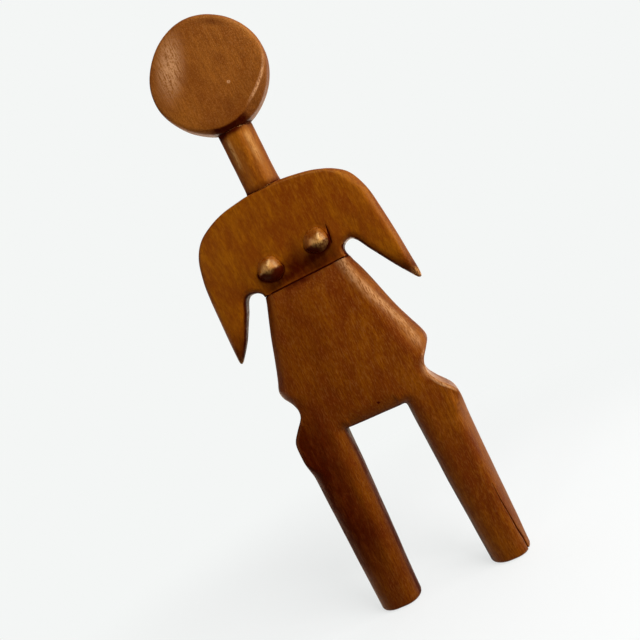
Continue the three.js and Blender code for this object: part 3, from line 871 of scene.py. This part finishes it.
def make_piece(
    name, field, low, high, pitch, material, stands_for, cuts=(), stain_and_shade=None, wear_and_highlight=None
):
    """Builds the mesh of one piece. The stain-and-shade and wear-and-highlight functions give more of either
    at a place (x, y, z).
    """
    vertices, quads = surface_net(field, np.array(low) - GRID_MARGIN, np.array(high) + GRID_MARGIN, pitch)
    vertices = settle(field, vertices)
    faces = quads.tolist()
    for cut in cuts:
        vertices, faces = divided(vertices, faces, cut)
    if cuts:
        vertices = settle(field, vertices)
    hollow, raised = shading_values(field, vertices)
    if stain_and_shade:
        hollow = np.maximum(hollow, stain_and_shade(*vertices.T))
    if wear_and_highlight:
        raised = np.maximum(raised, wear_and_highlight(*vertices.T))
    for cut in cuts:
        share = cut.profile(vertices)[0]
        vertices = vertices - unit_normals(field, vertices) * (cut.depth * share)[:, None]
        hollow = np.maximum(hollow, share)
    lowest, highest = np.array(CAD_BOX[0]) / MM, np.array(CAD_BOX[1]) / MM
    vertices = np.clip(vertices, lowest, highest)
    mesh = bpy.data.meshes.new(name)
    mesh.from_pydata((vertices * MM).tolist(), [], faces)
    for attribute, values in (("hollow", hollow), ("raised", raised)):
        layer = mesh.attributes.new(attribute, "FLOAT", "POINT")
        layer.data.foreach_set("value", values.astype(np.float32))
    mesh.shade_smooth()
    mesh.materials.append(material)
    piece = bpy.data.objects.new(name, mesh)
    bpy.context.scene.collection.objects.link(piece)
    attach(piece, "root")
    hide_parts(stands_for)
    return piece


class Nodes:
    """Adds nodes to a material or a world with short calls."""

    def __init__(self, owner, output):
        owner.use_nodes = True
        self.owner = owner
        self.tree = owner.node_tree
        self.tree.nodes.clear()
        self.output = self.add(output)

    def add(self, kind, **settings):
        node = self.tree.nodes.new(kind)
        for key, value in settings.items():
            setattr(node, key, value)
        return node

    def put(self, socket, value):
        if isinstance(value, bpy.types.NodeSocket):
            self.tree.links.new(value, socket)
        else:
            socket.default_value = value

    def attribute(self, name):
        return self.add("ShaderNodeAttribute", attribute_name=name).outputs["Fac"]

    def math(self, operation, a, b=0.0):
        node = self.add("ShaderNodeMath", operation=operation)
        self.put(node.inputs[0], a)
        self.put(node.inputs[1], b)
        return node.outputs[0]

    def mix(self, share, a, b):
        """Colour a where share is 0 and colour b where it is 1."""
        node = self.add("ShaderNodeMix", data_type="RGBA")
        self.put(node.inputs[0], share)
        self.put(node.inputs[6], a)
        self.put(node.inputs[7], b)
        return node.outputs[2]

    def mix_shaders(self, share, a, b):
        node = self.add("ShaderNodeMixShader")
        self.put(node.inputs[0], share)
        self.put(node.inputs[1], a)
        self.put(node.inputs[2], b)
        return node.outputs[0]

    def ramp(self, value, low, high, to_low=0.0, to_high=1.0):
        node = self.add("ShaderNodeMapRange", interpolation_type="SMOOTHSTEP")
        self.put(node.inputs["Value"], value)
        for key, number in zip(("From Min", "From Max", "To Min", "To Max"), (low, high, to_low, to_high)):
            node.inputs[key].default_value = number
        return node.outputs[0]

    def place(self, stretch):
        """Object coordinates in millimetres, stretched along each axis."""
        coordinates = self.add("ShaderNodeTexCoord")
        mapping = self.add("ShaderNodeMapping")
        mapping.inputs["Scale"].default_value = [s / MM for s in stretch]
        self.put(mapping.inputs["Vector"], coordinates.outputs["Object"])
        return mapping.outputs[0]

    def noise(self, stretch, detail=2.0, roughness=0.5, distortion=0.0):
        node = self.add("ShaderNodeTexNoise")
        self.put(node.inputs["Vector"], self.place(stretch))
        node.inputs["Scale"].default_value = 1
        node.inputs["Detail"].default_value = detail
        node.inputs["Roughness"].default_value = roughness
        node.inputs["Distortion"].default_value = distortion
        return node.outputs[0]


def linear(red, green, blue):
    """A colour written as on screen, 0 to 255, in the linear values that shaders take."""
    values = [c / 255 for c in (red, green, blue)]
    return [*(v / 12.92 if v <= 0.04045 else ((v + 0.055) / 1.055) ** 2.4 for v in values), 1.0]


HOLLOW_RANGE = (0.06, 0.42)  # hollow values at which the stain and the painted shade begin to darken and are fully dark
# Dark red of the stain and of the painted shade
HOLLOW_TONE = linear(58, 7, 1)
DEEPEST = linear(66, 20, 1)
GLOSS_TINT = (1.0, 0.52, 0.08, 1.0)
BOARD_LIGHT = linear(142, 79, 1)
BOARD_DEEP = linear(108, 45, 1)


def stained_wood(
    name, light, deep, worn_and_lit_tone, coarse=1.0, gloss=0.3, gloss_tint=GLOSS_TINT, rough=0.34, wear_and_highlight_share=0.75,
    speck_length=0.7,
):
    """Satin stain over close-grained wood: blotches, streaks and short flecks along the grain, which runs up.

    Dark red gathers in hollows, as stain and as painted shade, and edges turn pale, as wear and as painted
    highlight.
    Coarse above 1 gives a more speckled surface. One share sets how much pale tone shows where the wear and
    the painted highlight are full, and a low speck_length draws the specks out along the grain.
    """
    s = Nodes(bpy.data.materials.new(name), "ShaderNodeOutputMaterial")
    blotches = s.noise((0.1, 0.1, 0.05), detail=3.0, roughness=0.55)
    mottle = s.noise((0.5, 0.5, 0.14), detail=3.0, roughness=0.6, distortion=0.3)
    streaks = s.noise((1.3, 1.3, 0.05), detail=3.0, roughness=0.6)
    fibres = s.noise((1.9, 1.9, 0.2), detail=3.0, roughness=0.65)
    specks = s.noise((1.7, 1.7, speck_length), detail=2.0, roughness=0.65)

    patches = s.math("ADD", s.math("MULTIPLY", blotches, 0.6), s.math("MULTIPLY", mottle, 0.4))
    colour = s.mix(s.ramp(patches, 0.38, 0.62), deep, light)
    colour = s.mix(s.ramp(streaks, 0.38, 0.64, 0.0, 0.35), colour, deep)
    colour = s.mix(s.ramp(fibres, 0.4, 0.66, 0.0, 0.45), colour, s.mix(0.5, deep, DEEPEST))
    colour = s.mix(s.ramp(specks, 0.48, 0.68, 0.0, 0.2 * coarse), colour, s.mix(0.18, light, worn_and_lit_tone))
    colour = s.mix(s.ramp(specks, 0.46, 0.32, 0.0, 0.36 * coarse), colour, s.mix(0.4, deep, DEEPEST))
    # Dark red where the stain gathers and where shade is painted into hollows
    hollow = s.math("MULTIPLY", s.attribute("hollow"), s.ramp(mottle, 0.36, 0.62, 0.88, 1.12))
    colour = s.mix(s.ramp(hollow, *HOLLOW_RANGE, 0.0, 0.95), colour, HOLLOW_TONE)
    grain = s.math("ADD", s.math("MULTIPLY", fibres, 0.5), s.math("MULTIPLY", specks, 0.5))
    # Pale tone where the edges are worn and where highlights are painted
    worn = s.ramp(s.attribute("raised"), 0.03, 0.35, 0.0, wear_and_highlight_share)
    colour = s.mix(s.math("MULTIPLY", worn, s.ramp(grain, 0.6, 0.43, 0.1, 1.0)), colour, worn_and_lit_tone)

    shader = s.add("ShaderNodeBsdfPrincipled")
    s.put(shader.inputs["Base Color"], colour)
    level = s.ramp(hollow, *HOLLOW_RANGE, gloss, 0.05 * gloss)
    s.put(shader.inputs["Specular IOR Level"], level)
    shader.inputs["Specular Tint"].default_value = gloss_tint
    uneven = s.math("ADD", mottle, s.math("MULTIPLY", fibres, 0.4))
    s.put(shader.inputs["Roughness"], s.ramp(uneven, 0.4, 0.95, rough, rough + 0.16))
    bump = s.add("ShaderNodeBump")
    bump.inputs["Strength"].default_value = 0.45
    bump.inputs["Distance"].default_value = 0.3 * coarse * MM
    s.put(bump.inputs["Height"], grain)
    s.put(shader.inputs["Normal"], bump.outputs[0])
    s.put(s.output.inputs["Surface"], shader.outputs[0])
    return s.owner


def bare_wood():
    s = Nodes(bpy.data.materials.new("bare_dowel_wood"), "ShaderNodeOutputMaterial")
    streaks = s.noise((1.4, 1.4, 0.06), detail=3.0)
    shader = s.add("ShaderNodeBsdfPrincipled")
    colour = s.mix(s.ramp(streaks, 0.35, 0.65), linear(196, 158, 112), linear(220, 188, 144))
    s.put(shader.inputs["Base Color"], colour)
    shader.inputs["Roughness"].default_value = 0.6
    s.put(s.output.inputs["Surface"], shader.outputs[0])
    return s.owner


CRACK = Cut(
    [
        (32.1, 34, 0.04), (32.2, 26.3, 0.09), (32.8, 18.8, 0.14), (33.2, 10.8, 0.2), (33.8, 6, 0.24),
        (33.9, -1, 0.2),
    ],
    depth=0.9,
)
KNIFE_CUT = Cut([(17.5, 164.4, 0.12), (17.0, 160.5, 0.4), (16.3, 156.2, 0.12)], depth=0.6)
body_wood = stained_wood(
    "stained_body_wood", linear(130, 67, 1), linear(94, 31, 1), linear(204, 150, 100),
    coarse=1.6, speck_length=0.5,
)
yoke_wood = stained_wood("stained_yoke_wood", BOARD_LIGHT, BOARD_DEEP, linear(196, 138, 78))
breast_wood = stained_wood(
    "stained_breast_wood", BOARD_LIGHT, BOARD_DEEP, linear(214, 166, 92),
    gloss=0.8, gloss_tint=(1.0, 0.7, 0.3, 1.0), rough=0.2, wear_and_highlight_share=0.5,
)
neck_wood = stained_wood(
    "stained_neck_wood", linear(143, 78, 2), linear(107, 46, 1), linear(226, 172, 104), gloss=0.4
)
head_wood = stained_wood(
    "stained_head_wood", linear(142, 81, 24), linear(116, 58, 12), linear(204, 150, 104),
    coarse=1.7, gloss=0.35, wear_and_highlight_share=0.9, speck_length=1.5,
)

# The head is sampled further down and the neck further all round than their solids reach
make_piece(
    "carved_head", FIELDS["head"], HEAD_LOW - (0, 0, 3), HEAD_HIGH, PIECE_GRID, head_wood,
    "head", stain_and_shade=head_stain_and_shade, wear_and_highlight=head_wear_and_highlights,
)
make_piece(
    "carved_neck", FIELDS["neck"], NECK_LOW - 1, NECK_HIGH + 1, NECK_GRID, neck_wood,
    "neck", stain_and_shade=neck_darkening, wear_and_highlight=neck_painted_highlights,
)
make_piece(
    "carved_yoke", FIELDS["yoke"], YOKE_LOW, YOKE_HIGH, PIECE_GRID, yoke_wood,
    "shoulder_yoke", cuts=[KNIFE_CUT], stain_and_shade=yoke_stain_and_shade,
)
make_piece(
    "carved_lower_body", FIELDS["lower_body"], BODY_LOW, BODY_HIGH, PIECE_GRID, body_wood,
    "lower_body", cuts=[CRACK], stain_and_shade=body_stain_and_shade, wear_and_highlight=body_wear_and_highlights,
)
for side in ("left", "right"):
    low, high = mm_box(side + "_breast_peg")
    make_piece(
        f"{side}_breast", FIELDS[side + "_breast"], low, high, PEG_GRID, breast_wood,
        side + "_breast_peg", stain_and_shade=peg_painted_shade(side), wear_and_highlight=peg_wear_and_highlight,
    )
dowel_wood = bare_wood()
for side in ("left", "right"):
    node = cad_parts[side + "_dowel"]
    node.data.materials.clear()
    node.data.materials.append(dowel_wood)


# Studio, in metres
BACKGROUND = linear(244, 246, 245)
WHITE = (1.0, 1.0, 1.0, 1.0)
WARM_TONE = (1.0, 0.84, 0.66, 1.0)  # tone of the surroundings in the gloss of the wood
WORLD_LEFT = 0.4
WORLD_RIGHT = 0.95
# Share by which the gloss sees the world dimmer, at the picture's left and at its right
GLOSS_DIMMED = (0.8, 0.45)
# Bright surfaces that the gloss reflects: direction, cosines at the soft edge and where full, strength
SHEENS = [
    ((-0.7, -0.6, 0.4), 0.9, 0.98, 4.0),
    ((0.78, -0.62, 0.06), 0.88, 0.97, 7.0),
]
FLOOR_COLOUR = (0.94, 0.94, 0.94, 1)
FLOOR_BOUNCE = (0.3, 0.29, 0.27, 1)
FLOOR_SHINE = (0.9, 3.0)  # how bright the floor looks in the gloss of the wood, near and far
FLOOR_SHINE_FADE = (0.35, 0.65)  # distances where it looks so
FLOOR_FADE = (0.1, 0.32)  # distances over which the floor fades into the background
FLOOR_GLOW = 0.72
FLOOR_HALF = 6.0
FLOOR_Z = -0.0002  # just below the feet
DOLL_MIDDLE = (0, 0, 0.17)
# Soft lights that face the doll's middle: name, place, width and height, power in watts
LIGHTS = [
    ("overhead", (0.32, -0.36, 0.62), (0.34, 0.3), 4.1),
    ("right_side", (0.62, -0.12, 0.22), (0.25, 0.5), 2.9),
    ("left_glint", (-0.26, -0.5, 0.29), (0.08, 0.08), 0.28),
]


def add_camera():
    yaw, pitch, roll = (math.radians(a) for a in (CAMERA_YAW, CAMERA_PITCH, CAMERA_ROLL))
    back = Vector((math.sin(yaw) * math.cos(pitch), -math.cos(yaw) * math.cos(pitch), math.sin(pitch)))
    level_right = Vector((0, 0, 1)).cross(back).normalized()
    level_up = back.cross(level_right)
    right = math.cos(roll) * level_right - math.sin(roll) * level_up
    up = math.sin(roll) * level_right + math.cos(roll) * level_up
    data = bpy.data.cameras.new("camera")
    data.sensor_width = SENSOR_MM
    data.lens = SENSOR_MM * FOCAL_PIXELS / IMAGE_WIDTH
    data.clip_start = 0.01
    camera = bpy.data.objects.new("camera", data)
    turned = Matrix((right, up, back)).transposed().to_4x4()
    camera.matrix_world = Matrix.Translation((Vector(AIM) + CAMERA_DISTANCE * back) * MM) @ turned
    bpy.context.scene.collection.objects.link(camera)
    bpy.context.scene.camera = camera


def add_light(name, place, aim, size, power):
    data = bpy.data.lights.new(name, "AREA")
    data.shape = "RECTANGLE"
    data.size, data.size_y = size
    data.energy = power
    light = bpy.data.objects.new(name, data)
    place, aim = Vector(place), Vector(aim)
    light.location = place
    light.rotation_euler = (aim - place).to_track_quat("-Z", "Y").to_euler()
    bpy.context.scene.collection.objects.link(light)


def add_world():
    """Bright surroundings behind the doll and at the picture's right, dim ones on the camera's side."""
    s = Nodes(bpy.data.worlds.new("studio"), "ShaderNodeOutputWorld")
    bpy.context.scene.world = s.owner
    direction = s.add("ShaderNodeTexCoord").outputs["Generated"]
    parts = s.add("ShaderNodeSeparateXYZ")
    s.put(parts.inputs[0], direction)
    path = s.add("ShaderNodeLightPath")

    behind = s.ramp(parts.outputs["Y"], -0.45, 0.3, 0.02, 1.0)
    sideways = s.ramp(parts.outputs["X"], -0.6, 0.6, WORLD_LEFT, WORLD_RIGHT)
    around = s.math("MULTIPLY", behind, sideways)
    glossy = path.outputs["Is Glossy Ray"]
    dimmed = s.math("MULTIPLY", glossy, s.ramp(parts.outputs["X"], -0.25, 0.35, *GLOSS_DIMMED))
    strength = s.math("MULTIPLY", around, s.math("SUBTRACT", 1.0, dimmed))
    for aim, edge, full, bright in SHEENS:
        toward = s.add("ShaderNodeVectorMath", operation="DOT_PRODUCT")
        s.put(toward.inputs[0], direction)
        toward.inputs[1].default_value = Vector(aim).normalized()
        sheen = s.ramp(toward.outputs["Value"], edge, full, 0.0, bright)
        strength = s.math("ADD", strength, s.math("MULTIPLY", sheen, glossy))
    lit = s.add("ShaderNodeBackground")
    s.put(lit.inputs["Color"], s.mix(glossy, WHITE, WARM_TONE))
    s.put(lit.inputs["Strength"], strength)
    seen = s.add("ShaderNodeBackground")
    seen.inputs["Color"].default_value = BACKGROUND
    surroundings = s.mix_shaders(path.outputs["Is Camera Ray"], lit.outputs[0], seen.outputs[0])
    s.put(s.output.inputs["Surface"], surroundings)


def add_floor():
    """A pale floor that keeps the doll's shadow and fades into the background away from it."""
    s = Nodes(bpy.data.materials.new("pale_floor"), "ShaderNodeOutputMaterial")
    path = s.add("ShaderNodeLightPath")
    away = s.add("ShaderNodeVectorMath", operation="LENGTH")
    s.put(away.inputs[0], s.add("ShaderNodeTexCoord").outputs["Object"])
    lit = s.add("ShaderNodeBsdfDiffuse")
    lit.inputs["Color"].default_value = FLOOR_COLOUR
    dim = s.add("ShaderNodeBsdfDiffuse")
    dim.inputs["Color"].default_value = FLOOR_BOUNCE
    glow = s.add("ShaderNodeEmission")
    glow.inputs["Color"].default_value = BACKGROUND
    fade = s.ramp(away.outputs["Value"], *FLOOR_FADE, FLOOR_GLOW, 1.0)
    seen = s.mix_shaders(fade, lit.outputs[0], glow.outputs[0])
    shine = s.add("ShaderNodeEmission")
    shine.inputs["Color"].default_value = WARM_TONE
    s.put(shine.inputs["Strength"], s.ramp(away.outputs["Value"], *FLOOR_SHINE_FADE, *FLOOR_SHINE))
    indirect = s.mix_shaders(path.outputs["Is Glossy Ray"], dim.outputs[0], shine.outputs[0])
    s.put(s.output.inputs["Surface"], s.mix_shaders(path.outputs["Is Camera Ray"], indirect, seen))
    mesh = bpy.data.meshes.new("floor")
    half = FLOOR_HALF
    corners = [(-half, -half), (half, -half), (half, half), (-half, half)]
    mesh.from_pydata([(x, y, 0) for x, y in corners], [], [(0, 1, 2, 3)])
    mesh.materials.append(s.owner)
    floor = bpy.data.objects.new("floor", mesh)
    floor.location.z = FLOOR_Z
    bpy.context.scene.collection.objects.link(floor)


add_camera()
add_world()
add_floor()
for light_name, place, size, power in LIGHTS:
    add_light(light_name, place, DOLL_MIDDLE, size, power)

bpy.context.scene.view_settings.view_transform = "Standard"
